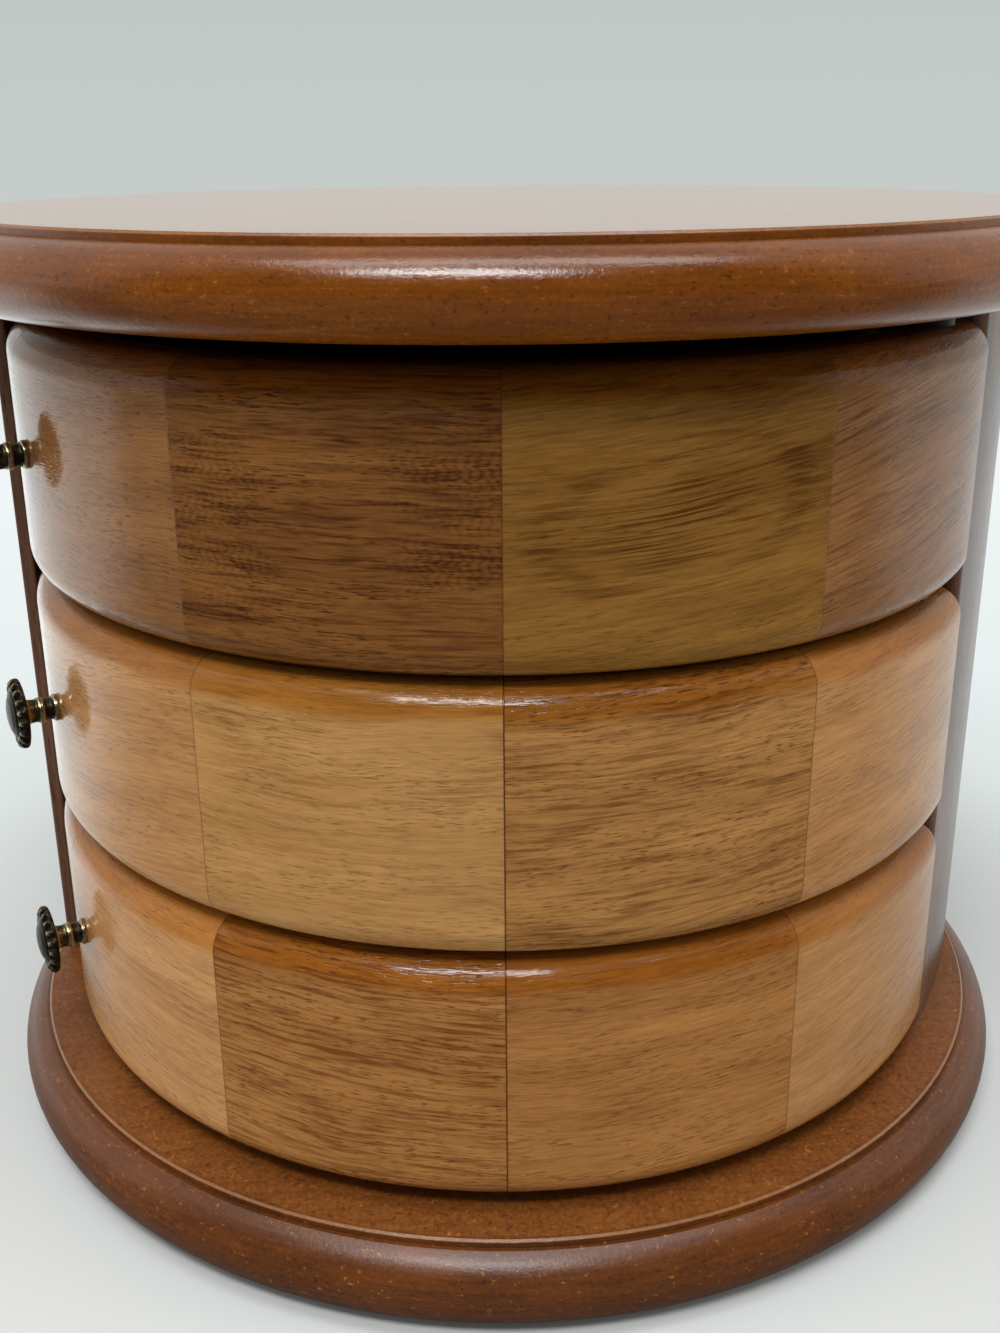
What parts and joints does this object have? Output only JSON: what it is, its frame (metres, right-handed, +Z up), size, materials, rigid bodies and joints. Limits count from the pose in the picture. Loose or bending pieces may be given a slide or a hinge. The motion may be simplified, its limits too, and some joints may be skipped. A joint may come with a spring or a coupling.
{
  "type": "rotating jewelry organizer",
  "caption": "Round wooden jewellery box whose stacked curved drawers swing out one by one on an upright rod at one side.",
  "frame": {"origin": "middle of the round footprint, on the surface the box stands on", "axes": "+Z up, -Y towards the curved drawer fronts, +X towards the side where the drawers are hinged"},
  "size_m": [0.23, 0.23, 0.1903],
  "materials": {
    "front_wood": "gloss lacquer",
    "board_wood": "gloss lacquer, stained",
    "shell_wood": "gloss lacquer, stained",
    "plain_wood": "sanded",
    "velvet": "velvet",
    "felt": "felt",
    "antique_brass": "antiqued, worn",
    "brass": "satin",
    "steel": "satin",
    "nylon": "matte"
  },
  "bodies": {
    "case": {"base_disc": "board_wood", "top_disc": "board_wood", "base_felt": "felt", "back_shell": "shell_wood", "hinge_post": "shell_wood", "case_screws": "steel", "post_dowels": "plain_wood", "pivot_rod": "steel", "pivot_washers": "nylon", "stop_bumpers": "felt"},
    "lower_drawer": {"lower_stave_1": "front_wood", "lower_stave_2": "front_wood", "lower_stave_3": "front_wood", "lower_stave_4": "front_wood", "lower_stave_5": "front_wood", "lower_tray_floor": "plain_wood", "lower_back_wall": "plain_wood", "lower_side_wall": "plain_wood", "lower_corner_block": "plain_wood", "lower_pivot_bush": "brass", "lower_lining": "velvet", "lower_knob": "antique_brass", "lower_knob_screw": "steel"},
    "middle_drawer": {"middle_stave_1": "front_wood", "middle_stave_2": "front_wood", "middle_stave_3": "front_wood", "middle_stave_4": "front_wood", "middle_stave_5": "front_wood", "middle_tray_floor": "plain_wood", "middle_back_wall": "plain_wood", "middle_side_wall": "plain_wood", "middle_corner_block": "plain_wood", "middle_pivot_bush": "brass", "middle_lining": "velvet", "middle_knob": "antique_brass", "middle_knob_screw": "steel", "middle_divider": "velvet"},
    "upper_drawer": {"upper_stave_1": "front_wood", "upper_stave_2": "front_wood", "upper_stave_3": "front_wood", "upper_stave_4": "front_wood", "upper_stave_5": "front_wood", "upper_tray_floor": "plain_wood", "upper_back_wall": "plain_wood", "upper_side_wall": "plain_wood", "upper_corner_block": "plain_wood", "upper_pivot_bush": "brass", "upper_lining": "velvet", "upper_knob": "antique_brass", "upper_knob_screw": "steel", "upper_ring_cushion": "velvet"}
  },
  "joints": [
    {"name": "lower_swing", "type": "hinge", "parent": "case", "child": "lower_drawer", "pos_m": [0.07672, -0.05367, 0.04515], "axis": [0, 0, 1], "range_deg": [0, 110]},
    {"name": "middle_swing", "type": "hinge", "parent": "case", "child": "middle_drawer", "pos_m": [0.07672, -0.05367, 0.09565], "axis": [0, 0, 1], "range_deg": [0, 110]},
    {"name": "upper_swing", "type": "hinge", "parent": "case", "child": "upper_drawer", "pos_m": [0.07672, -0.05367, 0.14615], "axis": [0, 0, 1], "range_deg": [0, 110]}
  ]
}
